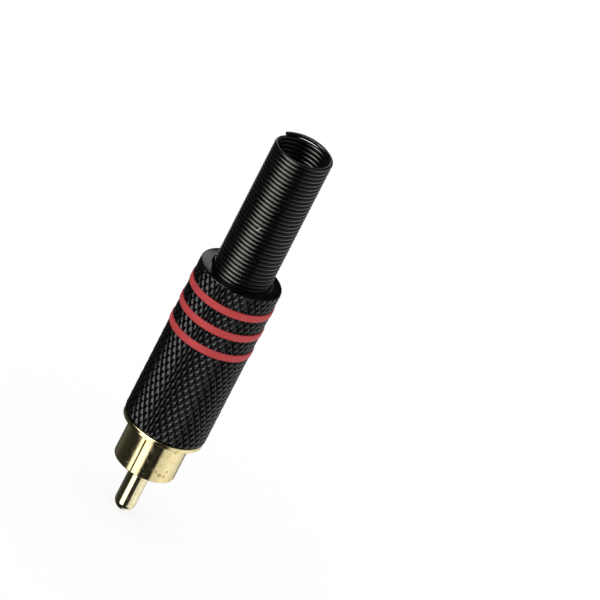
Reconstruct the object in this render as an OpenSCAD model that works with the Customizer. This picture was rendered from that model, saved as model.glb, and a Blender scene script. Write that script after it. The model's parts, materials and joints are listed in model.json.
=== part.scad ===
// Phono plug for soldering to a cable: slotted ground collar, centre pin, screw-on
// knurled barrel with three colour rings, and a coil strain relief at the tail.
// Millimetres. The plug's axis is Z: the pin points down, the tail points up, and
// the origin is on the axis at the collar's rim. The front of the plug faces -Y.

/* [Centre pin] */
// Diameter of the signal pin
pin_d = 3.18; // [3:0.02:3.3]
// How far the pin's round tip reaches past the collar's rim
pin_reach = 7.92; // [7:0.02:9]
// Diameter of the shank that runs through the insulator
shank_d = 2.4; // [2:0.1:2.8]
// Diameter of the swaged head that holds the shank behind the insulator
swage_d = 3.2; // [3:0.1:3.8]
// Height of the swaged head
swage_h = 0.4; // [0.2:0.1:0.8]
// Outside diameter of the solder cup
cup_d = 2; // [1.6:0.1:2.4]
// Wall of the solder cup
cup_wall = 0.3; // [0.2:0.05:0.45]
// Length of the solder cup behind the swaged head
cup_len = 4.4; // [4:0.1:6]
// Depth of the solder cup's bore
cup_bore_depth = 3.4; // [3:0.1:3.8]
// Length of the cup's end that is scooped open to one side
scoop_len = 2.4; // [1:0.1:2.8]

/* [Ground collar] */
// Outside diameter of the slotted collar
collar_d = 9.4; // [9:0.1:10]
// Wall of the collar
collar_wall = 0.5; // [0.45:0.05:0.7]
// Length of the collar, from its rim to the flange
collar_len = 5.95; // [5.5:0.05:8]
// Number of slots that make the collar springy
slot_count = 4; // [3:1:6]
// Width of one slot
slot_w = 0.3; // [0.2:0.02:0.6]
// Uncut length of collar between a slot and the flange
slot_land = 0.3; // [0.2:0.05:2]
// Direction of the first slot, in degrees from +X
slot_turn = 254; // [220:1:310]
// Depth of the collar's floor below the flange's front face
floor_step = 0.4; // [0.2:0.05:0.8]
// Size of the broken edge round the rim
rim_edge = 0.2; // [0.05:0.01:0.2]

/* [Flange and thread] */
// Thickness of the flange
flange_t = 1.15; // [0.9:0.05:2]
// Height of the bevel on the flange's front
flange_bevel = 0.5; // [0.3:0.05:0.6]
// How far the flange's edge stays inside the barrel's outside
flange_inset = 0.1; // [0:0.05:0.3]
// Depth of the thread that carries the barrel
thread_depth = 0.4; // [0.2:0.05:0.45]
// Rise of the thread in one turn
thread_pitch = 1; // [0.8:0.05:1.25]
// Number of full ridges on the thread
thread_turns = 3; // [2:1:5]
// Width of the relief groove between flange and thread
relief_w = 0.7; // [0.4:0.1:1.2]
// Plain land behind the last ridge
end_land = 0.4; // [0.2:0.05:0.8]
// Wall of the body between the thread's root and the insulator's pocket
body_wall = 0.5; // [0.4:0.05:0.8]

/* [Insulator] */
// Diameter of the insulator's nose, which shows at the collar's floor
nose_d = 6.6; // [5:0.1:7.4]
// Thickness of the shoulder that the insulator bears on
shoulder_t = 1.1; // [0.8:0.1:1.6]

/* [Ground clamp] */
// Thickness of the sheet that the clamp is pressed from
sheet_t = 0.4; // [0.3:0.05:0.5]
// Diameter of the hole in the washer at the clamp's root
washer_bore = 5.6; // [5:0.1:6.4]
// Width of the arm from the washer to the ears
arm_w = 3; // [2.4:0.1:4]
// Length of the arm between the washer and the first ear
arm_len = 7; // [5:0.1:8]
// Direction of the arm, in degrees from +X
arm_turn = 314; // [270:1:350]
// Length of one crimp ear along the cable
ear_len = 3.1; // [2.6:0.1:3.6]
// Gap between the two ears along the cable
ear_gap = 0.5; // [0.3:0.1:1]
// How far the first ear wraps round, in degrees from the arm's middle
back_sweep = 172; // [140:1:180]
// How far the second ear wraps round the other way
front_sweep = 128; // [100:1:160]
// Number of teeth on the end of each ear
tooth_count = 3; // [2:1:4]
// Depth of the teeth
tooth_depth = 0.6; // [0.3:0.05:0.9]
// Diameter of the two wire holes in the arm and the cradle
wire_hole_d = 0.9; // [0.6:0.1:1.3]

/* [Barrel] */
// Outside diameter of the barrel
barrel_d = 12.5; // [12.4:0.1:14]
// Wall of the barrel round its bore
barrel_wall = 0.75; // [0.6:0.05:1.2]
// Length of the barrel
barrel_len = 26.4; // [22:0.1:32]
// Thickness of the barrel's back wall
back_wall = 1.2; // [0.8:0.1:2]
// Rounded edge at the barrel's mouth
mouth_edge = 0.15; // [0.1:0.05:0.4]
// Bevelled edge at the barrel's back
back_edge = 0.35; // [0.2:0.05:0.6]
// Clearance between the thread and the barrel, on the radius
thread_clear = 0.05; // [0.02:0.01:0.08]
// Clearance between the strain relief and the hole it comes out of, on the radius
tail_clear = 0.2; // [0.1:0.05:0.4]
// Gap left between parts that seat against each other
seat_clear = 0.02; // [0.01:0.01:0.05]

/* [Colour rings] */
// Width of one ring
ring_w = 1.17; // [0.8:0.01:1.6]
// Distance from one ring to the next
ring_pitch = 3.465; // [2.5:0.005:5]
// Distance from the barrel's back to the middle of the last ring
ring_back = 3.4; // [2.5:0.05:5]
// Depth of the groove that holds a ring
ring_groove = 0.3; // [0.2:0.05:0.4]
// How far a ring stands out of the barrel
ring_proud = 0.1; // [0.05:0.01:0.2]

/* [Strain relief] */
// Outside diameter of the coil
coil_d = 8.8; // [8:0.1:9.4]
// Diameter of the wire
wire_d = 0.64; // [0.5:0.01:0.8]
// Gap between one turn of the wire and the next
coil_gap = 0.02; // [0.01:0.01:0.3]
// Length of the coil that stands out of the barrel
tail_len = 21.5; // [15:0.1:28]
// Number of wide turns that hold the coil inside the barrel
flare_turns = 2; // [1.5:0.25:3]
// Number of turns over which the wide turns draw in
neck_turns = 1; // [0.75:0.25:1.5]
// Clearance between the wide turns and the barrel's bore, on the radius
flare_clear = 0.1; // [0.05:0.05:0.3]
// Direction of the wire's end at the mouth, in degrees from +X
wire_end_turn = 144; // [100:1:200]

/* [Hidden] */
$fn = 96;
past = 1;               // how far a cutting shape runs past what it cuts
coil_steps = 20;        // rings of wire in one turn of the coil
wire_sides = 6;         // sides of the wire's section

// Front of the plug, from the rim of the collar backwards
collar_r = collar_d / 2;
collar_bore_r = collar_r - collar_wall;
slot_len = collar_len - slot_land;
floor_z = collar_len + floor_step;
flange_back_z = collar_len + flange_t;
barrel_r = barrel_d / 2;
flange_r = barrel_r - flange_inset;
flange_edge = 0.15;
barrel_bore_r = barrel_r - barrel_wall;
crest_r = barrel_bore_r - thread_clear;
root_r = crest_r - thread_depth;
thread_z = flange_back_z + relief_w;
thread_end_z = thread_z + thread_turns * thread_pitch;
body_back_z = thread_end_z + end_land;

// Inside the front
pin_r = pin_d / 2;
pin_dome_z = pin_r - pin_reach;
pocket_r = root_r - body_wall;
shoulder_z = floor_z + shoulder_t;
washer_z = body_back_z - sheet_t;
cup_z = washer_z + swage_h;
cup_end_z = cup_z + cup_len;

// Clamp behind the front
ear_z = body_back_z + arm_len;
ear_2_z = ear_z + ear_len + ear_gap;
arm_half = asin(arm_w / 2 / pocket_r);

// Barrel
barrel_z = flange_back_z + seat_clear;
barrel_back_z = barrel_z + barrel_len;
stop_z = barrel_back_z - back_wall;
tail_hole_r = coil_d / 2 + tail_clear;
ring_r = barrel_r - ring_groove;

// Coil: the middle line of the wire starts inside the barrel and ends at the mouth
wire_r = wire_d / 2;
coil_pitch = wire_d + coil_gap;
tail_r = coil_d / 2 - wire_r;
flare_r = barrel_bore_r - flare_clear - wire_r;
mouth_z = barrel_back_z + tail_len;
coil_end_z = mouth_z - wire_r;
flare_z = stop_z - seat_clear - wire_r - (flare_turns + neck_turns) * coil_pitch;
coil_turns = (coil_end_z - flare_z) / coil_pitch;
coil_rings = ceil(coil_turns * coil_steps);

// A pie slice round the axis, from z to z + h and between two angles less than 180 apart
module slice(z, h, from, to) {
    reach = 2 * pocket_r;
    translate([0, 0, z])
        linear_extrude(h)
            polygon(concat([[0, 0]], [for (i = [0 : 4])
                let (a = from + (to - from) * i / 4)
                [reach * cos(a), reach * sin(a)]]));
}

// One ridge of the thread, as the points of its section from the root up and down again
function ridge(z) = [
    [root_r, z + 0.1 * thread_pitch],
    [crest_r, z + 0.4 * thread_pitch],
    [crest_r, z + 0.6 * thread_pitch],
    [root_r, z + 0.9 * thread_pitch]
];

// Turned outside of the body with its bore and pocket, as one closed section
function body_section() = concat(
    [
        [collar_bore_r, floor_z],
        [collar_bore_r, rim_edge],
        [collar_bore_r + rim_edge, 0],
        [collar_r - rim_edge, 0],
        [collar_r, rim_edge],
        [collar_r, collar_len],
        [flange_r - 2 * flange_bevel, collar_len],
        [flange_r, collar_len + flange_bevel],
        [flange_r, flange_back_z - flange_edge],
        [flange_r - flange_edge, flange_back_z],
        [root_r, flange_back_z]
    ],
    [for (i = [0 : thread_turns - 1]) each ridge(thread_z + i * thread_pitch)],
    [
        [root_r, body_back_z],
        [pocket_r, body_back_z],
        [pocket_r, shoulder_z],
        [nose_d / 2, shoulder_z],
        [nose_d / 2, floor_z]
    ]
);

module plug_body() {
    color("gold")
        difference() {
            rotate_extrude()
                polygon(body_section());
            for (i = [0 : slot_count - 1])
                rotate([0, 0, slot_turn + i * 360 / slot_count])
                    translate([0, -slot_w / 2, -past])
                        cube([collar_r + past, slot_w, slot_len + past]);
        }
}

module insulator() {
    color("saddlebrown")
        difference() {
            union() {
                translate([0, 0, floor_z])
                    cylinder(d = nose_d, h = shoulder_t);
                translate([0, 0, shoulder_z])
                    cylinder(r = pocket_r, h = washer_z - shoulder_z);
            }
            translate([0, 0, floor_z - past])
                cylinder(d = shank_d, h = washer_z - floor_z + 2 * past);
        }
}

module centre_pin() {
    color("gold")
        difference() {
            union() {
                translate([0, 0, pin_dome_z])
                    sphere(r = pin_r);
                translate([0, 0, pin_dome_z])
                    cylinder(r = pin_r, h = floor_z - pin_dome_z);
                translate([0, 0, floor_z])
                    cylinder(d = shank_d, h = washer_z - floor_z);
                translate([0, 0, washer_z])
                    cylinder(d = swage_d, h = swage_h);
                translate([0, 0, cup_z])
                    cylinder(d = cup_d, h = cup_len);
            }
            translate([0, 0, cup_end_z - cup_bore_depth])
                cylinder(d = cup_d - 2 * cup_wall, h = cup_bore_depth + past);
            translate([0, -cup_d, cup_end_z - scoop_len])
                cube([cup_d, 2 * cup_d, scoop_len + past]);
        }
}

// Teeth cut into the end of an ear: a row of V notches through the wall at angle a. Each notch is
// a triangle that opens past the ear's end and leaves a narrow flat between itself and the next.
module tooth_notches(a, side) {
    pitch = ear_len / tooth_count;
    half_gap = 0.4 * pitch;
    for (i = [0 : tooth_count - 1])
        rotate([0, 0, a])
            translate([0, 0, (i + 0.5) * pitch])
                rotate([0, 90, 0])
                    linear_extrude(pocket_r + past)
                        polygon([
                            [-1.5 * half_gap, side * 0.5 * tooth_depth],
                            [1.5 * half_gap, side * 0.5 * tooth_depth],
                            [0, -side * tooth_depth]
                        ]);
}

// A washer with an arm and two ears, cut from one rolled tube of sheet
module ground_clamp() {
    back_end = arm_turn + back_sweep;
    front_end = arm_turn - front_sweep;
    top_z = ear_2_z + ear_len;
    color("goldenrod")
        difference() {
            union() {
                translate([0, 0, washer_z])
                    cylinder(r = pocket_r, h = sheet_t);
                intersection() {
                    translate([0, 0, washer_z])
                        cylinder(r = pocket_r, h = top_z - washer_z);
                    union() {
                        slice(washer_z, top_z - washer_z, arm_turn - arm_half, arm_turn + arm_half);
                        slice(ear_z, ear_len, arm_turn, back_end);
                        slice(ear_2_z, ear_len, front_end, arm_turn);
                    }
                }
            }
            translate([0, 0, washer_z + sheet_t])
                cylinder(r = pocket_r - sheet_t, h = top_z - washer_z);
            translate([0, 0, washer_z - past])
                cylinder(d = washer_bore, h = sheet_t + 2 * past);
            translate([0, 0, ear_z])
                tooth_notches(back_end, 1);
            translate([0, 0, ear_2_z])
                tooth_notches(front_end, -1);
            for (z = [ear_z - wire_hole_d, ear_z + ear_len - wire_hole_d])
                rotate([0, 0, arm_turn])
                    translate([0, 0, z])
                        rotate([0, 90, 0])
                            cylinder(d = wire_hole_d, h = pocket_r + past);
        }
}

// Middle of one colour ring, counted from the barrel's mouth
function ring_z(i) = barrel_back_z - ring_back - (3 - i) * ring_pitch;

module barrel() {
    color("#1b1b1d")
        difference() {
            rotate_extrude()
                polygon([
                    [0, barrel_z],
                    [barrel_r - mouth_edge, barrel_z],
                    [barrel_r, barrel_z + mouth_edge],
                    [barrel_r, barrel_back_z - back_edge],
                    [barrel_r - back_edge, barrel_back_z],
                    [0, barrel_back_z]
                ]);
            translate([0, 0, barrel_z - past])
                cylinder(r = barrel_bore_r, h = stop_z - barrel_z + past);
            translate([0, 0, stop_z - past])
                cylinder(r = tail_hole_r, h = back_wall + 2 * past);
            for (i = [1 : 3])
                rotate_extrude()
                    translate([ring_r, ring_z(i) - ring_w / 2])
                        square([ring_groove + past, ring_w]);
        }
}

// One ring in its groove; its outer corners are rounded off
module colour_ring(i) {
    proud_r = barrel_r + ring_proud;
    low = ring_z(i) - ring_w / 2;
    high = ring_z(i) + ring_w / 2;
    color("#c43f42")
        rotate_extrude()
            polygon([
                [ring_r, low],
                [barrel_r, low],
                [proud_r, low + ring_proud],
                [proud_r, high - ring_proud],
                [barrel_r, high],
                [ring_r, high]
            ]);
}

module colour_ring_1() { colour_ring(1); }
module colour_ring_2() { colour_ring(2); }
module colour_ring_3() { colour_ring(3); }

// Share of the way from 0 to 1, with a soft start and end
function ease(t) = t <= 0 ? 0 : t >= 1 ? 1 : t * t * (3 - 2 * t);

// Radius of the wire's middle line after a number of turns: wide turns first, then the tail
function coil_r(turn) = flare_r + (tail_r - flare_r) * ease((turn - flare_turns) / neck_turns);

// Ring i of the wire: its section stands in the plane through the axis
function wire_ring(i) =
    let (turn = coil_turns * i / coil_rings,
        a = wire_end_turn - 360 * (coil_turns - turn))
    [for (j = [0 : wire_sides - 1])
        let (b = 360 * j / wire_sides,
            r = coil_r(turn) + wire_r * cos(b),
            z = flare_z + coil_pitch * turn + wire_r * sin(b))
        [r * cos(a), r * sin(a), z]];

// Faces between ring i and the next
function wire_faces(i) = [for (j = [0 : wire_sides - 1])
    let (k = (j + 1) % wire_sides, low = i * wire_sides, high = (i + 1) * wire_sides)
    each [[low + j, low + k, high + k], [low + j, high + k, high + j]]];

module strain_relief() {
    points = [for (i = [0 : coil_rings]) each wire_ring(i)];
    start_cap = [for (j = [0 : wire_sides - 1]) wire_sides - 1 - j];
    end_cap = [for (j = [0 : wire_sides - 1]) coil_rings * wire_sides + j];
    sides = [for (i = [0 : coil_rings - 1]) each wire_faces(i)];
    color("#202022")
        polyhedron(points, concat([start_cap], sides, [end_cap]));
}

plug_body();
insulator();
centre_pin();
ground_clamp();
barrel();
colour_ring_1();
colour_ring_2();
colour_ring_3();
strain_relief();
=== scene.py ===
"""Phono plug: gold front, black knurled barrel with three red rings, black coil strain relief."""
import json
import math

import bmesh
import bpy
import numpy as np
from mathutils import Matrix, Vector


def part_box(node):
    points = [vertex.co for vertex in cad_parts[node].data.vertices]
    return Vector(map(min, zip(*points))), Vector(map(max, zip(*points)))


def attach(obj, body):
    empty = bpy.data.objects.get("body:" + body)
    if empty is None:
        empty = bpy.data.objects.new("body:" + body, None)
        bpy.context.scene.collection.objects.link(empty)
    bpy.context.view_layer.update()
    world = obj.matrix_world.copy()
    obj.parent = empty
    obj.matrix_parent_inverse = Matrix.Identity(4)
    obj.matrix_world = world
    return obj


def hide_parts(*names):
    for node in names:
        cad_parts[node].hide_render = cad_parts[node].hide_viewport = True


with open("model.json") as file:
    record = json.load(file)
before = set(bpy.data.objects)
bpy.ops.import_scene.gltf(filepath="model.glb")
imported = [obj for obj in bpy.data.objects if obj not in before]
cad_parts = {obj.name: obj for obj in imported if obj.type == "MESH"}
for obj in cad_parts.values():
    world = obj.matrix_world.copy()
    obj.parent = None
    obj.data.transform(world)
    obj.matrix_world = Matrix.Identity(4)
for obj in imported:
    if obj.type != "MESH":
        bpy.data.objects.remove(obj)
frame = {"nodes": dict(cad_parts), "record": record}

MM = 0.001
TURN = 2 * math.pi
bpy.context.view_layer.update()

# Sizes read from the frame, in millimetres


def reach(node):
    """Outer radius, lowest z and highest z of a node that is round about the axis."""
    low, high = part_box(node)
    return high.x / MM, low.z / MM, high.z / MM


BARREL_R, BARREL_Z, BARREL_END_Z = reach("barrel")
BODY_R, RIM_Z, BODY_END_Z = reach("plug_body")
PIN_R, PIN_TIP_Z, CUP_END_Z = reach("centre_pin")
FLARE_R, FLARE_Z, MOUTH_Z = reach("strain_relief")
RING_R, RING_LOW, RING_HIGH = reach("colour_ring_1")

# The plug's own detail, in millimetres. An EDGE is the radius of a broken edge, a FILLET that of an inner
# corner, and a value in _TURN is in degrees about the axis, from +X towards +Y. SAME is the most by which
# two measures that are meant to be equal may differ.

SAME = 1e-6

# Collar, flange and thread

COLLAR_R = 4.7
COLLAR_WALL = 0.5
COLLAR_LEN = 5.95
COLLAR_FILLET = 0.12
RIM_EDGE = 0.2
SLOT_W = 0.3
SLOT_LEN = 5.65
SLOT_COUNT = 4
SLOT_TURN = 254
FLOOR_Z = 6.35
FLOOR_FILLET = 0.1
FLANGE_BACK_Z = 7.1
BEVEL_W = 1.0
BEVEL_H = 0.5
BEVEL_EDGE = 0.1
FLANGE_EDGE = 0.12
CREST_R = 5.45
THREAD_Z = 7.8
THREAD_PITCH = 1.0
THREAD_TURNS = 3
THREAD_DEPTH = 0.4
THREAD_FADE = 0.35
THREAD_RUN_OUT = 0.2
CREST_SHARE = 0.2
FLANK_SHARE = 0.3
ROOT_R = CREST_R - THREAD_DEPTH
ROOT_EDGE = 0.1
POCKET_R = 4.55
POCKET_EDGE = 0.08
SHOULDER_Z = 7.45
NOSE_R = 3.3

# Pin, shank and solder cup

PIN_EDGE = 0.1
SHANK_R = 1.2
WASHER_Z = 10.8
SWAGE_R = 1.6
SWAGE_H = 0.4
SWAGE_EDGE = 0.15
CUP_R = 1.0
CUP_WALL = 0.3
CUP_BORE = 3.4
CUP_EDGE = 0.06
CUP_FILLET = 0.1
CUP_FLOOR_FILLET = 0.2
SCOOP = 2.4

# Barrel and rings

BORE_R = 5.5
BORE_EDGE = 0.1
BACK_WALL = 1.2
BACK_FALL = 0.16
BACK_EDGE = 0.25
TAIL_HOLE_R = 4.6
TAIL_HOLE_EDGE = 0.05
TAIL_HOLE_INNER_EDGE = 0.08
MOUTH_EDGE = 0.4
RING_COUNT = 3
RING_PITCH = 3.465
RING_GROOVE = 0.3
RING_PLAY = 0.01
RING_EDGE = 0.16
KNURL_STARTS = 35
KNURL_STEPS = 8
KNURL_DEPTH = 0.165
KNURL_FLANK = 0.6
KNURL_ROUND = 0.1
KNURL_FADE = 0.05
LEFT_RISE = 1.87
RIGHT_RISE = 1.54

# Coil

WIRE_R = 0.32
TAIL_R = 4.08
COIL_PITCH = 0.66
FLARE_TURNS = 2
NECK_TURNS = 1
WIRE_END_TURN = 144
WIRE_END_CUT = 0.13
GAP = 0.13
GAP_MIDDLE = 0.15
GAP_REACH = 0.12

# Colours of the gold: the paler and the deeper of its two tints, with a paler copy for the pin that is
#  painted highlight, then what darkens it: smudges, tarnish, and painted shade inside the collar

GOLD = ((0.94, 0.83, 0.48), (0.91, 0.77, 0.40))
# Painted highlight: the pin's gold is a paler copy of the same plating, for the whiter look of its brighter
# light.
PALE_LIT_PIN_GOLD = ((0.96, 0.89, 0.60), (0.93, 0.84, 0.52))
SMUDGED = (0.80, 0.62, 0.30)
TARNISHED = (0.42, 0.31, 0.10)
# Painted shade: the dark colour given to the collar's bore and slot walls, where shade falls.
PAINTED_COLLAR_SHADE = (0.24, 0.21, 0.12)

# Marks of wear: tarnish spots on the collar as turn, z and radius, and the scratch on the coil

SPOTS = [(304, 1.35, 0.42), (314, 1.24, 0.3), (316, 2.05, 0.3), (295, 1.83, 0.24), (313.6, 5.5, 0.34)]
SCRATCH_Z = 42.83
SCRATCH_TURN = 261
SCRATCH_SLOPE = 0.44
SCRATCH_COLOUR = (0.45, 0.44, 0.41)


class Value:
    """What a shader's socket gives. Sums, differences, products and quotients of numbers add Math nodes."""

    def __init__(self, tree, socket):
        self.tree = tree
        self.socket = socket

    def math(self, operation, *others, swap=False):
        """What a Math node makes of this value and the others, taken the other way round if swap is true."""
        node = self.tree.nodes.new("ShaderNodeMath")
        node.operation = operation
        terms = [self, *others]
        if swap:
            terms.reverse()
        for term, target in zip(terms, node.inputs):
            plug_in(self.tree, target, term)
        return Value(self.tree, node.outputs[0])

    def __add__(self, other):
        return self.math("ADD", other)

    def __sub__(self, other):
        return self.math("SUBTRACT", other)

    def __mul__(self, other):
        return self.math("MULTIPLY", other)

    def __truediv__(self, other):
        return self.math("DIVIDE", other)

    def __rsub__(self, other):
        return self.math("SUBTRACT", other, swap=True)

    def __neg__(self):
        return self * -1

    __radd__ = __add__
    __rmul__ = __mul__


def plug_in(tree, target, given):
    """Links a value to a socket, or sets the socket to a number, a vector or a colour."""
    if isinstance(given, Value):
        tree.links.new(given.socket, target)
    elif isinstance(given, tuple) and len(given) == 3 and target.type == "RGBA":
        target.default_value = (*given, 1)
    else:
        target.default_value = given


class Shader:
    """A node tree that is built from an empty one."""

    def __init__(self, owner):
        self.owner = owner
        owner.use_nodes = True
        self.tree = owner.node_tree
        self.tree.nodes.clear()

    def node(self, kind, settings=None, inputs=None, out=None, second=None):
        """Adds a node, sets its settings, then its sockets, and returns one of its outputs as a value.
        The second of two sockets with one name is given as second."""
        node = self.tree.nodes.new("ShaderNode" + kind)
        for name, setting in (settings or {}).items():
            if name == "stops":
                ramp = node.color_ramp.elements
                for place, colour in setting[1:-1]:
                    ramp.new(place).color = (*colour, 1)
                ramp[0].color = (*setting[0][1], 1)
                ramp[-1].color = (*setting[-1][1], 1)
            else:
                setattr(node, name, setting)
        for name, given in (inputs or {}).items():
            target = next(s for s in node.inputs if s.enabled and s.name == name)
            plug_in(self.tree, target, given)
        if second is not None:
            plug_in(self.tree, node.inputs[1], second)
        outputs = [s for s in node.outputs if s.enabled]
        if not outputs:
            return None
        found = outputs[0] if out is None else next(s for s in outputs if s.name == out)
        return Value(self.tree, found)

    def place(self):
        """The point of the piece that is shaded, in metres."""
        return self.node("TexCoord", out="Object")

    def stretched(self, vector, scale):
        """The vector times a scale, part by part. A small scale stretches what is drawn."""
        return self.node("Mapping", inputs={"Vector": vector, "Scale": scale})

    def axes(self, vector, names="XYZ"):
        """The named parts of a vector."""
        return [self.node("SeparateXYZ", inputs={"Vector": vector}, out=name) for name in names]

    def step(self, value, low, high):
        """Goes softly from 0 to 1 as value goes from low to high."""
        ends = {"Value": value, "From Min": low, "From Max": high}
        return self.node("MapRange", {"interpolation_type": "SMOOTHSTEP"}, ends)

    def curve(self, value, points):
        """Straight lines through points (value, height), level before the first and after the last."""
        first = points[0][0]
        span = points[-1][0] - first
        top = max(height for place, height in points)
        stops = [((place - first) / span, (height / top,) * 3) for place, height in points]
        return self.node("ValToRGB", {"stops": stops}, {"Fac": (value - first) / span}, "Color") * top

    def noise(self, vector, size, detail=2, roughness=0.5):
        """Noise whose lumps are about size metres across."""
        inputs = {"Vector": vector, "Scale": 1 / size, "Detail": detail, "Roughness": roughness}
        return self.node("TexNoise", inputs=inputs, out="Fac")

    def mix(self, share, first, second):
        """A colour that goes from first to second as share goes from 0 to 1."""
        return self.node("Mix", {"data_type": "RGBA"}, {"Factor": share, "A": first, "B": second})

    def bump(self, height, distance, under=None):
        """A normal that follows a height from 0 to 1, distance metres high, on top of the one under it."""
        inputs = {"Height": height, "Distance": distance}
        if under is not None:
            inputs["Normal"] = under
        return self.node("Bump", inputs=inputs)

    def surface(self, **sockets):
        """Ends the tree in one Principled shader. Socket names are written with _ for a space."""
        inputs = {name.replace("_", " "): given for name, given in sockets.items()}
        shader = self.node("BsdfPrincipled", inputs=inputs)
        self.node("OutputMaterial", inputs={"Surface": shader})
        return self.owner


def material(name):
    """A new material with an empty tree."""
    return Shader(bpy.data.materials.new(name))


def off_axis(x, y):
    """Distance from the plug's axis: the root of x squared plus y squared."""
    return (x * x + y * y).math("SQRT")


# Finishes


def gold_plate(name, seed, tints, waves, spots=(), shaded_within=None):
    """Gold plate on turned brass: bright, of two tints, with faint tool rings, waves of the given height in
    millimetres, dull smudges and specks, and the given tarnish spots on the collar. The seed moves the
    pattern. Past the rim, nearer to the axis than the last radius given in millimetres, it is darkened
    with painted shade, the shade of the collar's bore and slot walls."""
    s = material(name)
    place = s.place()
    x, y, z = s.axes(place)
    drift = s.node("Mapping", inputs={"Vector": place, "Location": (0.01 * seed, 0, 0)})
    mottle = s.noise(drift, 1.6 * MM, detail=3)
    smudge = s.step(s.noise(drift, 0.7 * MM, detail=4, roughness=0.6), 0.49, 0.63)
    specks = s.step(s.noise(drift, 0.45 * MM, detail=1), 0.68, 0.76)
    ragged = (s.noise(place, 0.12 * MM) - 0.5) * 0.25 * MM
    for turn, spot_z, size in spots:
        a = math.radians(turn)
        middle = (COLLAR_R * math.cos(a) * MM, COLLAR_R * math.sin(a) * MM, spot_z * MM)
        away = s.node("VectorMath", {"operation": "DISTANCE"}, {"Vector": place}, "Value", middle)
        specks = specks.math("MAXIMUM", 1 - s.step(away + ragged, 0.35 * size * MM, size * MM))
    rings = s.noise(s.node("CombineXYZ", inputs={"X": 0.0, "Y": 0.0, "Z": z}), 0.06 * MM)
    colour = s.mix(s.step(mottle, 0.3, 0.7), *tints)
    colour = s.mix(smudge * 0.45, colour, SMUDGED)
    colour = s.mix(specks * 0.7, colour, TARNISHED)
    # Painted shade: inside the collar, past the rim, the gold is darkened as if by the shade in the bore and
    # slots.
    if shaded_within:
        inside = 1 - s.step(off_axis(x, y), (shaded_within - 0.08) * MM, shaded_within * MM)
        above_rim = s.step(z, 0.1 * MM, 0.3 * MM)
        colour = s.mix(inside * above_rim * 0.85, colour, PAINTED_COLLAR_SHADE)
    return s.surface(
        Base_Color=colour,
        Metallic=1.0,
        Roughness=0.07 + 0.05 * mottle + 0.1 * smudge + 0.25 * specks,
        Normal=s.bump(rings, 0.0005 * MM, under=s.bump(mottle, waves * MM)),
    )


def black_barrel():
    """Black finish on knurled brass: deep black, half gloss, worn a little paler on the knurl's points."""
    s = material("black_knurl")
    place = s.place()
    x, y = s.axes(place, "XY")
    points = s.step(off_axis(x, y), (BARREL_R - 0.05) * MM, BARREL_R * MM)
    wear = points * s.step(s.noise(place, 0.9 * MM, detail=4), 0.45, 0.7)
    grain = s.noise(place, 0.05 * MM, detail=3, roughness=0.6)
    return s.surface(
        Base_Color=s.mix(wear, (0.002, 0.002, 0.0022), (0.009, 0.009, 0.0094)),
        Roughness=0.1 + 0.08 * grain - 0.02 * wear,
        IOR=1.38,
        Normal=s.bump(grain, 0.002 * MM),
    )


def red_ring():
    """Matt red ring: even colour with a faint grain, and painted shade that darkens its rounded corners."""
    s = material("red_ring")
    place = s.place()
    x, y = s.axes(place, "XY")
    top = s.step(off_axis(x, y), (RING_R - 0.1) * MM, (RING_R - 0.01) * MM)
    grain = s.noise(place, 0.12 * MM, detail=4, roughness=0.6)
    clouds = s.noise(place, 2.4 * MM)
    flat = s.mix(clouds, (0.49, 0.034, 0.038), (0.54, 0.044, 0.047))
    return s.surface(
        # Painted shade: below the outer face, on the rounded corners, the red is darker.
        Base_Color=s.mix(top, (0.33, 0.022, 0.027), flat),
        Roughness=0.5 + 0.12 * grain,
        Normal=s.bump(grain, 0.006 * MM),
    )


def scratch(s, place):
    """Goes from 0 to 1 on the coil's scratch: a short line on the outside at SCRATCH_TURN and SCRATCH_Z that
    moves round by SCRATCH_SLOPE times its rise."""
    x, y, z = s.axes(place)
    a = math.radians(SCRATCH_TURN)
    along = x * -math.sin(a) + y * math.cos(a)
    facing = x * math.cos(a) + y * math.sin(a)
    rise = z - SCRATCH_Z * MM
    aside = (along - rise * SCRATCH_SLOPE).math("ABSOLUTE")
    narrow = 1 - s.step(aside, 0.06 * MM, 0.16 * MM)
    short = 1 - s.step(rise.math("ABSOLUTE"), 0.28 * MM, 0.4 * MM)
    outside = s.step(facing, (TAIL_R - 0.18) * MM, (TAIL_R - 0.08) * MM)
    return narrow * short * outside


def black_wire():
    """Black oxide on spring wire: satin, with fine drawing marks and one pale scratch across two turns."""
    s = material("black_wire")
    place = s.place()
    scratched = scratch(s, place)
    marks = s.noise(s.stretched(place, (0.2, 0.2, 1.0)), 0.05 * MM)
    patches = s.noise(place, 1.2 * MM, detail=3)
    black = s.mix(patches, (0.0012, 0.0012, 0.0012), (0.0045, 0.0045, 0.004))
    return s.surface(
        Base_Color=s.mix(scratched, black, SCRATCH_COLOUR),
        Roughness=0.14 + 0.12 * patches + 0.05 * marks + 0.3 * scratched,
        IOR=1.6,
        Specular_Tint=(1.0, 0.99, 0.93),
        Normal=s.bump(marks, 0.003 * MM),
    )


def brown_bush():
    """Paper laminate, brown: fine layers across the axis and a fleck of darker fibre."""
    s = material("brown_laminate")
    place = s.place()
    flecks = s.noise(s.stretched(place, (1, 1, 6)), 0.5 * MM, detail=4)
    layers = s.noise(s.stretched(place, (0.05, 0.05, 1)), 0.08 * MM)
    colour = s.mix(s.step(flecks, 0.35, 0.7), (0.23, 0.085, 0.03), (0.38, 0.16, 0.055))
    return s.surface(
        Base_Color=s.mix(0.35 * layers, colour, (0.12, 0.04, 0.015)),
        Roughness=0.42 + 0.15 * flecks,
        Normal=s.bump(layers, 0.004 * MM),
    )


# Surfaces


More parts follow.
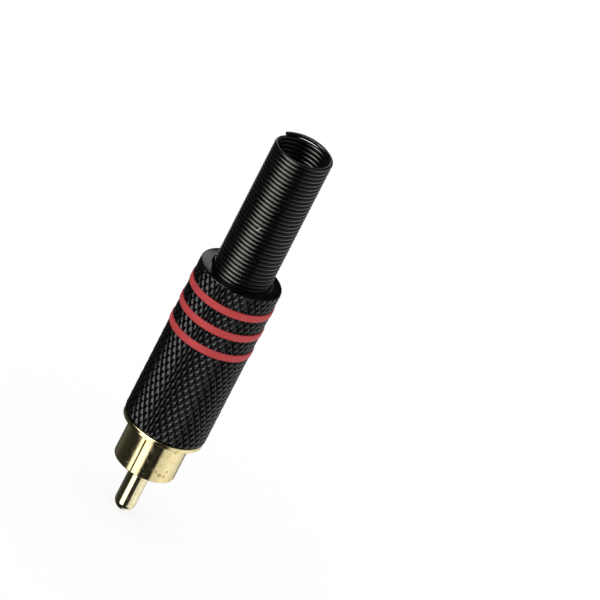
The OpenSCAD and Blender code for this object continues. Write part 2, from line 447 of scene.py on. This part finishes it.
def new_mesh(name, points, faces, finish, sharp=35):
    """A mesh from points in millimetres and arrays of faces, each array with its own number of corners.
    Points that coincide are merged, which closes poles. Edges bent by more than sharp degrees stay sharp."""
    mesh = bpy.data.meshes.new(name)
    mesh.vertices.add(len(points))
    mesh.vertices.foreach_set("co", (np.asarray(points, np.float32) * MM).ravel())
    corners = np.concatenate([np.asarray(f, np.int32).ravel() for f in faces])
    sizes = np.concatenate([np.full(len(f), np.shape(f)[1], np.int32) for f in faces])
    mesh.loops.add(len(corners))
    mesh.loops.foreach_set("vertex_index", corners)
    mesh.polygons.add(len(sizes))
    mesh.polygons.foreach_set("loop_start", (np.cumsum(sizes) - sizes).astype(np.int32))
    mesh.update(calc_edges=True)
    weld(mesh)
    mesh.polygons.foreach_set("use_smooth", np.ones(len(mesh.polygons), bool))
    mesh.set_sharp_from_angle(angle=math.radians(sharp))
    mesh.materials.append(finish)
    piece = bpy.data.objects.new(name, mesh)
    bpy.context.scene.collection.objects.link(piece)
    return piece


def weld(mesh):
    """Merges points within a tenth of a micrometre."""
    work = bmesh.new()
    work.from_mesh(mesh)
    bmesh.ops.remove_doubles(work, verts=work.verts, dist=1e-7)
    work.to_mesh(mesh)
    work.free()


def rounded(corners, steps=5):
    """A section as points (r, z), from corners (r, z, radius): each corner becomes an arc of so many points
    that touches both of its sides, and a radius of 0 leaves it as it is."""
    out = []
    count = len(corners)
    for i, (r, z, radius) in enumerate(corners):
        here = np.array([r, z], float)
        if not radius:
            out.append(here)
            continue
        back = np.array(corners[i - 1][:2], float) - here
        ahead = np.array(corners[(i + 1) % count][:2], float) - here
        back /= np.linalg.norm(back)
        ahead /= np.linalg.norm(ahead)
        half = math.acos(np.clip(back @ ahead, -1, 1)) / 2
        middle = here + (back + ahead) / np.linalg.norm(back + ahead) * radius / math.sin(half)
        start = here + back * radius / math.tan(half) - middle
        end = here + ahead * radius / math.tan(half) - middle
        sweep = math.atan2(start[0] * end[1] - start[1] * end[0], start @ end)
        for share in np.linspace(0, 1, steps):
            c = math.cos(sweep * share)
            s = math.sin(sweep * share)
            out.append(middle + [start[0] * c - start[1] * s, start[0] * s + start[1] * c])
    return np.array(out)


def finely(section, longest, closed=True):
    """The section with points added so that no side is longer than longest. A closed section has one more
    side, from its last point to its first, and an open one ends with its last point."""
    sides = list(zip(section, np.roll(section, -1, 0)))
    out = []
    for here, ahead in sides if closed else sides[:-1]:
        parts = max(1, math.ceil(np.linalg.norm(ahead - here) / longest))
        out.append(here + (ahead - here) * np.arange(parts)[:, None] / parts)
    if not closed:
        out.append(section[-1:])
    return np.concatenate(out)


def around(count):
    """A row of so many angles, evenly round the axis."""
    return TURN * np.arange(count)[None, :] / count


def turned(radius, z, angle):
    """Points of a surface of revolution: (radius cos angle, radius sin angle, z), row by row."""
    radius, z, angle = np.broadcast_arrays(radius, z, angle)
    return np.stack([radius * np.cos(angle), radius * np.sin(angle), z], -1)


def quads(rows, columns, close_rows):
    """Faces of a grid whose columns wrap round. Its rows wrap too if close_rows is true. They come as an
    array with a row of faces for each pair of neighbouring rows, four corners each."""
    last = rows if close_rows else rows - 1
    i = np.arange(last)[:, None]
    j = np.arange(columns)[None, :]
    below = (i % rows) * columns
    above = ((i + 1) % rows) * columns
    beside = (j + 1) % columns
    return np.stack(np.broadcast_arrays(below + j, below + beside, above + beside, above + j), -1)


# Pieces


def slot_angles(radius, columns):
    """Angles of the columns at each radius. In each quarter the first column runs along one side of a slot,
    the second along the other, SLOT_W away, and the rest share out the leaf up to the next slot evenly."""
    half = np.arcsin(SLOT_W / 2 / radius)[:, None]
    quarter = TURN / SLOT_COUNT
    share = np.linspace(0, 1, columns, endpoint=False)[None, :]
    leaf = half + (quarter - 2 * half) * share
    one = np.concatenate([-half, leaf], 1)
    turns = [one + math.radians(SLOT_TURN) + quarter * k for k in range(SLOT_COUNT)]
    return np.concatenate(turns, 1)


def thread_radius(radius, z, angle):
    """The thread: between its ends the root is raised by THREAD_DEPTH times a trapezium wave of
    z / THREAD_PITCH - angle / TURN. A crest takes CREST_SHARE of the pitch and each flank FLANK_SHARE. The
    wave fades in and out over THREAD_FADE."""
    off_crest = np.abs((z / THREAD_PITCH - angle / TURN) % 1 - 0.5)
    wave = np.clip((CREST_SHARE / 2 + FLANK_SHARE - off_crest) / FLANK_SHARE, 0, 1)
    start = THREAD_Z - THREAD_FADE
    end = THREAD_Z + THREAD_TURNS * THREAD_PITCH + THREAD_RUN_OUT
    fade = np.clip((z - start) / THREAD_FADE, 0, 1) * np.clip((end - z) / THREAD_FADE, 0, 1)
    between = (z > FLANGE_BACK_Z + ROOT_EDGE) & (z < BODY_END_Z - ROOT_EDGE)
    on_root = between & (np.abs(radius - ROOT_R) < SAME)
    return np.where(on_root, ROOT_R + THREAD_DEPTH * wave * fade, radius)


def plug_body():
    """Collar, flange and threaded sleeve as one turned section with four sawn slots through the collar.
    Where a slot runs, its strip of the grid is left out, and the cut gets two side walls and an end, whose
    corners run against those of the faces beside them, so that they face outwards too."""
    bore_r = COLLAR_R - COLLAR_WALL
    section = rounded([
        (NOSE_R, FLOOR_Z, 0),
        (bore_r, FLOOR_Z, FLOOR_FILLET),
        (bore_r, SLOT_LEN, 0),
        (bore_r, RIM_Z, RIM_EDGE),
        (COLLAR_R, RIM_Z, RIM_EDGE),
        (COLLAR_R, SLOT_LEN, 0),
        (COLLAR_R, COLLAR_LEN, COLLAR_FILLET),
        (BODY_R - BEVEL_W, COLLAR_LEN, BEVEL_EDGE),
        (BODY_R, COLLAR_LEN + BEVEL_H, FLANGE_EDGE),
        (BODY_R, FLANGE_BACK_Z, FLANGE_EDGE),
        (ROOT_R, FLANGE_BACK_Z, ROOT_EDGE),
        (ROOT_R, BODY_END_Z, ROOT_EDGE),
        (POCKET_R, BODY_END_Z, POCKET_EDGE),
        (POCKET_R, SHOULDER_Z, 0),
        (NOSE_R, SHOULDER_Z, 0),
    ])
    section = finely(section, longest=0.06)
    radius, z = section[:, :1], section[:, 1:]
    angle = slot_angles(section[:, 0], columns=48)
    points = turned(thread_radius(radius, z, angle), z, angle)
    rows, columns = points.shape[:2]
    faces = quads(rows, columns, close_rows=True)

    in_collar = (section[:, 1] <= SLOT_LEN + SAME) & (section[:, 0] > bore_r - SAME)
    cut_rows = np.flatnonzero(in_collar)
    first, last = cut_rows[0], cut_rows[-1]
    slot_columns = np.arange(SLOT_COUNT) * (columns // SLOT_COUNT)
    kept = np.ones(faces.shape[:2], bool)
    kept[first:last][:, slot_columns] = False
    side = cut_rows[None, :] * columns + slot_columns[:, None]
    ends = np.stack([side[:, 0], side[:, 0] + 1, side[:, -1] + 1, side[:, -1]], 1)
    walls = [side[:, ::-1], side + 1, ends]
    # Painted shade darkens the collar's bore and slot walls.
    finish = gold_plate("gold_front", 1, GOLD, 0.012, SPOTS, shaded_within=COLLAR_R - 0.03)
    return new_mesh("gold_body", points.reshape(-1, 3), [faces[kept], *walls], finish)


def centre_pin():
    """Round tip, pin, thin shank, swaged head and solder cup as one turned section from pole to pole.
    The cup's end is scooped: its half on the +X side is left out and walled."""
    tip = math.pi / 2 * np.linspace(1, 0, 14, endpoint=False)
    dome = np.stack([PIN_R * np.cos(tip), PIN_TIP_Z + PIN_R * (1 - np.sin(tip))], 1)
    bore_r = CUP_R - CUP_WALL
    scoop_z = CUP_END_Z - SCOOP
    cup_floor_z = CUP_END_Z - CUP_BORE
    swage_z = WASHER_Z + SWAGE_H
    behind = rounded([
        (PIN_R, 0, 0),
        (PIN_R, FLOOR_Z, PIN_EDGE),
        (SHANK_R, FLOOR_Z, 0),
        (SHANK_R, WASHER_Z, 0),
        (SWAGE_R, WASHER_Z, 0),
        (SWAGE_R, swage_z, SWAGE_EDGE),
        (CUP_R, swage_z, CUP_FILLET),
        (CUP_R, scoop_z, 0),
        (CUP_R, CUP_END_Z, CUP_EDGE),
        (bore_r, CUP_END_Z, CUP_EDGE),
        (bore_r, scoop_z, 0),
        (bore_r, cup_floor_z, CUP_FLOOR_FILLET),
        (0, cup_floor_z, 0),
    ])
    section = finely(np.concatenate([dome, behind]), longest=0.4, closed=False)
    count = 96
    even = TURN * (np.arange(count) + 0.5) / count - TURN / 4
    angle = np.concatenate([[-TURN / 4], even[:count // 2], [TURN / 4], even[count // 2:]])
    columns = len(angle)
    points = turned(section[:, :1], section[:, 1:], angle[None, :])
    faces = quads(len(section), columns, close_rows=False)

    cut_rows = np.flatnonzero(section[:, 1] >= scoop_z - SAME)
    first, last = cut_rows[0], cut_rows[-1]
    scooped = np.flatnonzero(np.abs(angle) <= TURN / 4 + SAME)
    kept = np.ones(faces.shape[:2], bool)
    kept[first:last, scooped[0]:scooped[-1]] = False
    side = cut_rows[None, :] * columns
    outer = first * columns + scooped
    inner = last * columns + scooped
    ledge = np.stack([outer[:-1], outer[1:], inner[1:], inner[:-1]], 1)
    walls = [side[:, ::-1] + scooped[0], side + scooped[-1], ledge]
    # Painted highlight: the pin takes the paler copy of the gold.
    finish = gold_plate("gold_pin", 2, PALE_LIT_PIN_GOLD, 0.006)
    return new_mesh("gold_pin", points.reshape(-1, 3), [faces[kept], *walls], finish)


def knurl_height(z, angle):
    """Two crossing families of V grooves that leave small flat diamonds. With a = KNURL_STARTS angle / TURN,
    one family lies where a + z / LEFT_RISE is a whole number, the other where a - z / RIGHT_RISE is. From 0
    in a groove the height rises straight to 1, KNURL_FLANK of the way to the diamond's middle, and is flat
    from there. A parabola rounds the edge by KNURL_ROUND of the rise to each side."""
    a = KNURL_STARTS * angle / TURN
    ridge = 1 - np.abs(2 * (np.stack([a + z / LEFT_RISE, a - z / RIGHT_RISE]) % 1) - 1)
    rise = ridge.min(0) / KNURL_FLANK
    past = np.clip(rise - (1 - KNURL_ROUND), 0, None)
    return np.where(rise < 1 + KNURL_ROUND, rise - past ** 2 / (4 * KNURL_ROUND), 1)


def knurled_barrel():
    """The barrel as one closed turned section. Columns of its grid lean so that they run along one family of
    grooves, and the rows stand so far apart that the diagonals of its faces run along the other one. The
    knurled bands lie between the mouth, the ring grooves and the back. A plain tail goes through the hole
    in the back wall and the bore to the mouth."""
    columns = KNURL_STARTS * KNURL_STEPS
    row_step = 1 / KNURL_STEPS / (1 / RIGHT_RISE + 1 / LEFT_RISE)
    groove_r = BARREL_R - RING_GROOVE
    ring_low = RING_LOW + RING_PITCH * np.arange(RING_COUNT)
    ring_high = RING_HIGH + RING_PITCH * np.arange(RING_COUNT)
    start_z = BARREL_Z + MOUTH_EDGE
    back_z = BARREL_END_Z - BACK_EDGE

    radius, z = [], []
    margin = 0.1
    for k, (low, high) in enumerate(zip([start_z, *ring_high], [*ring_low, back_z])):
        first = math.ceil(low / row_step + margin)
        last = math.floor(high / row_step - margin)
        band = np.concatenate([[low], np.arange(first, last + 1) * row_step, [high]])
        radius.append(np.full(len(band), BARREL_R))
        z.append(band)
        if k < RING_COUNT:
            radius.append([groove_r, groove_r])
            z.append([high, ring_high[k]])

    stub = 0.01
    tail = rounded([
        (BARREL_R, back_z - stub, 0),
        (BARREL_R, BARREL_END_Z - BACK_FALL, BACK_EDGE),
        (TAIL_HOLE_R, BARREL_END_Z, TAIL_HOLE_EDGE),
        (TAIL_HOLE_R, BARREL_END_Z - BACK_WALL, TAIL_HOLE_INNER_EDGE),
        (BORE_R, BARREL_END_Z - BACK_WALL, BORE_EDGE),
        (BORE_R, BARREL_Z, BORE_EDGE),
        (BARREL_R, BARREL_Z, MOUTH_EDGE),
        (BARREL_R, start_z + stub, 0),
    ], steps=6)
    tail = finely(tail[1:-1], longest=1.5, closed=False)
    radius = np.concatenate([*radius, tail[:, 0]])[:, None]
    z = np.concatenate([*z, tail[:, 1]])[:, None]
    angle = TURN / KNURL_STARTS * (np.arange(columns)[None, :] / KNURL_STEPS - z / LEFT_RISE)
    cut = KNURL_DEPTH * np.clip(1 - (BARREL_R - radius) / KNURL_FADE, 0, 1)
    points = turned(radius - cut * (1 - knurl_height(z, angle)), z, angle)
    faces = quads(len(z), columns, close_rows=True)
    split = np.concatenate([faces[..., [0, 1, 2]].reshape(-1, 3), faces[..., [0, 2, 3]].reshape(-1, 3)])
    return new_mesh("knurled_barrel", points.reshape(-1, 3), [split], black_barrel(), sharp=20)


def colour_ring(index, finish):
    """One ring: a turned section with round outer corners, clear of its groove by RING_PLAY."""
    low = RING_LOW + RING_PITCH * index + RING_PLAY
    high = RING_HIGH + RING_PITCH * index - RING_PLAY
    inner = BARREL_R - RING_GROOVE + RING_PLAY
    section = rounded([
        (inner, low, 0),
        (RING_R, low, RING_EDGE),
        (RING_R, high, RING_EDGE),
        (inner, high, 0),
    ], steps=8)
    section = finely(section, longest=0.3)
    columns = 192
    points = turned(section[:, :1], section[:, 1:], around(columns))
    faces = quads(len(section), columns, close_rows=True).reshape(-1, 4)
    return new_mesh(f"red_ring_{index + 1}", points.reshape(-1, 3), [faces], finish)


def coil():
    """One wire, wound close: at turn t its middle line lies at z = start + pitch t, on a radius that is
    wide for FLARE_TURNS turns, draws in softly over NECK_TURNS and then stays. A round section follows it.
    GAP_MIDDLE turns before its end it lifts off by GAP, softly over GAP_REACH turns to each side. What
    stands past MOUTH_Z is ground flat."""
    start = FLARE_Z + WIRE_R
    turns = (MOUTH_Z - WIRE_R + WIRE_END_CUT - start) / COIL_PITCH
    steps = 48
    sides = 12
    rings = math.ceil(turns * steps)
    t = np.linspace(0, turns, rings + 1)[:, None]
    share = np.clip((t - FLARE_TURNS) / NECK_TURNS, 0, 1)
    ease = share * share * (3 - 2 * share)
    wide = FLARE_R - WIRE_R
    middle = wide + (TAIL_R - wide) * ease
    radius = middle + WIRE_R * np.cos(around(sides))
    lift = GAP * (1 - np.clip(np.abs(turns - t - GAP_MIDDLE) / GAP_REACH, 0, 1) ** 2) ** 2
    z = np.minimum(start + COIL_PITCH * t + lift + WIRE_R * np.sin(around(sides)), MOUTH_Z)
    angle = math.radians(WIRE_END_TURN) - TURN * (turns - t)
    points = turned(radius, z, angle)
    faces = quads(rings + 1, sides, close_rows=False).reshape(-1, 4)[:, ::-1]
    first_cap = np.arange(sides)[None, :]
    last_cap = (rings * sides + np.arange(sides))[None, ::-1]
    return new_mesh("black_coil", points.reshape(-1, 3), [faces, first_cap, last_cap], black_wire())


# The room that glossy surfaces see. Angles are in degrees: azimuth from -Y towards +X, height over the
# horizon. A wall is brightness by azimuth, as points, and a pair of angles is where a soft step starts
# and ends.

LOW_WALLS = [
    (-180, 0.12), (-150, 0.07), (-128, 0.075), (-116, 0.04), (-100, 0.02), (-75, 0.008), (-60, 0.01),
    (-54, 0.04), (-49, 0.25), (-43, 1.8), (-10, 1.8), (-1, 0.0), (6, 0.0), (20, 0.016), (32, 0.0), (37, 0.0),
    (45, 0.75), (70, 0.84), (82, 1.0), (100, 0.97), (120, 0.84), (150, 0.58), (162, 0.62), (172, 1.0),
    (180, 1.0),
]
HIGH_WALLS = [
    (-180, 0.0), (-169, 0.0), (-164, 1.3), (-150, 1.3), (-142, 0.0), (-58, 0.0), (-33, 5.8), (-2, 5.8),
    (5, 0.0), (50, 0.0), (66, 0.07), (90, 0.22), (120, 0.27), (150, 0.2), (165, 0.1), (175, 0.0), (180, 0.0),
]
WALLS_FOOT = (-55, -46)
WALLS_MEET = (-17, -6)
WALLS_TOP = (52, 68)
SHADE = 0.75
SHADE_FOOT = (4, 7.5)
SHADE_TOP = (15, 20)
LEAN_BY = 32
LEAN_OVER = (8, 45)
PAPER = 0.8
PAPER_LEFT = (95, 125)
PAPER_RIGHT = (164, 169)
DARKEST = 0.014
MATT_LIGHT = 0.92


def studio():
    """The world. The camera and clear materials see white, matt surfaces get even light, and glossy ones
    see a dim room. Its low walls turn into its high ones at WALLS_MEET, and the high ones lean sideways by
    up to LEAN_BY degrees. Between SHADE_FOOT and SHADE_TOP the walls lose the share SHADE of their light.
    They end softly at WALLS_FOOT and WALLS_TOP, and white paper lies below them at the back."""
    s = Shader(bpy.data.worlds.new("studio"))
    x, y, z = s.axes(s.node("TexCoord", out="Generated"))
    azimuth = x.math("ARCTAN2", -y) * (180 / math.pi)
    height = z.math("ARCSINE") * (180 / math.pi)
    above_foot = s.step(height, *WALLS_FOOT)
    upper = s.step(height, *WALLS_MEET)
    leaning = azimuth + LEAN_BY * s.step(height, *LEAN_OVER)
    walls = s.curve(azimuth, LOW_WALLS) * (1 - upper) + s.curve(leaning, HIGH_WALLS) * upper
    upright = above_foot * (1 - s.step(height, *WALLS_TOP))
    shade = s.step(height, *SHADE_FOOT) - s.step(height, *SHADE_TOP)
    behind = s.step(azimuth, *PAPER_LEFT) * (1 - s.step(azimuth, *PAPER_RIGHT))
    paper = behind * (1 - above_foot) * PAPER
    room = walls * upright * (1 - SHADE * shade) + paper + DARKEST
    glossy = s.node("LightPath", out="Is Glossy Ray")
    matt = s.node("LightPath", out="Is Diffuse Ray")
    level = glossy * room + matt * MATT_LIGHT + (1 - glossy) * (1 - matt)
    light = s.node("Background", inputs={"Color": (1.0, 1.0, 1.0), "Strength": level})
    s.node("OutputWorld", inputs={"Surface": light})
    bpy.context.scene.world = s.owner


def floor():
    """A wide white floor under the pin's tip. Most of what the camera sees of it is its own even white, so
    the plug's shadow stays, but faint. It is clear from below, and glossy surfaces see the studio instead."""
    half = 3.0
    z = PIN_TIP_Z * MM
    mesh = bpy.data.meshes.new("floor")
    corners = [(-half, -half, z), (half, -half, z), (half, half, z), (-half, half, z)]
    mesh.from_pydata(corners, [], [(0, 1, 2, 3)])
    s = material("floor")
    seen = s.node("LightPath", out="Is Camera Ray")
    below = s.node("NewGeometry", out="Backfacing")
    s.surface(
        Base_Color=s.mix(seen, (0.92, 0.92, 0.92), (0.24, 0.24, 0.24)),
        Specular_IOR_Level=0.0,
        Roughness=1.0,
        Alpha=1 - below,
        Emission_Color=s.mix(seen, (0.0, 0.0, 0.0), (0.78, 0.78, 0.78)),
        Emission_Strength=1.0,
    )
    mesh.materials.append(s.owner)
    plane = bpy.data.objects.new("floor", mesh)
    bpy.context.scene.collection.objects.link(plane)
    plane.visible_glossy = False


# Place of the plug in the photograph, in its pixels, and the view that gives it, in degrees

PHOTO_SIZE = 600
RIM_PIXEL = (144.46, 463.44)
PIXELS_PER_MM = 7.1
LEAN = 27.3
LOOK_DOWN = 26


def camera():
    """A long lens on the -Y side that looks down by LOOK_DOWN and is rolled by LEAN, aimed so that the
    middle of the collar's rim falls on RIM_PIXEL."""
    distance = 2.0
    width = PHOTO_SIZE / PIXELS_PER_MM * MM
    down = math.radians(LOOK_DOWN)
    lean = math.radians(LEAN)
    forward = Vector((0, math.cos(down), -math.sin(down)))
    level_up = Vector((0, math.sin(down), math.cos(down)))
    level_right = Vector((1, 0, 0))
    right = level_right * math.cos(lean) + level_up * math.sin(lean)
    up = level_up * math.cos(lean) - level_right * math.sin(lean)
    dx = (PHOTO_SIZE / 2 - RIM_PIXEL[0]) / PIXELS_PER_MM * MM
    dy = (PHOTO_SIZE / 2 - RIM_PIXEL[1]) / PIXELS_PER_MM * MM
    aim = right * dx - up * dy
    data = bpy.data.cameras.new("camera")
    data.sensor_width = 36
    data.lens = data.sensor_width * distance / width
    data.clip_start = 0.1
    data.clip_end = 20
    eye = bpy.data.objects.new("camera", data)
    bpy.context.scene.collection.objects.link(eye)
    turn = Matrix((right, up, -forward)).transposed().to_4x4()
    eye.matrix_world = Matrix.Translation(aim - forward * distance) @ turn
    bpy.context.scene.camera = eye


# Putting it together


def dress(piece, node):
    """The piece takes the place of a CAD node and moves with its body."""
    body = next(b for b, members in frame["record"]["behaviour"]["bodies"].items() if node in members)
    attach(piece, body)
    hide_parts(node)


def keep(node, finish):
    """A CAD node stays, with a finish of its own, smooth on its curves and crisp on its edges."""
    piece = frame["nodes"][node]
    piece.data.materials.clear()
    piece.data.materials.append(finish)
    piece.data.polygons.foreach_set("use_smooth", np.ones(len(piece.data.polygons), bool))
    piece.modifiers.new("join", "WELD").merge_threshold = 1e-6
    split = piece.modifiers.new("split", "EDGE_SPLIT")
    split.split_angle = math.radians(30)
    split.use_edge_sharp = False


camera()
studio()
floor()

dress(plug_body(), "plug_body")
dress(centre_pin(), "centre_pin")
dress(knurled_barrel(), "barrel")
red = red_ring()
for index in range(RING_COUNT):
    dress(colour_ring(index, red), f"colour_ring_{index + 1}")
dress(coil(), "strain_relief")
keep("insulator", brown_bush())
keep("ground_clamp", gold_plate("gold_clamp", 3, GOLD, 0.006))

bpy.context.scene.view_settings.view_transform = "Standard"
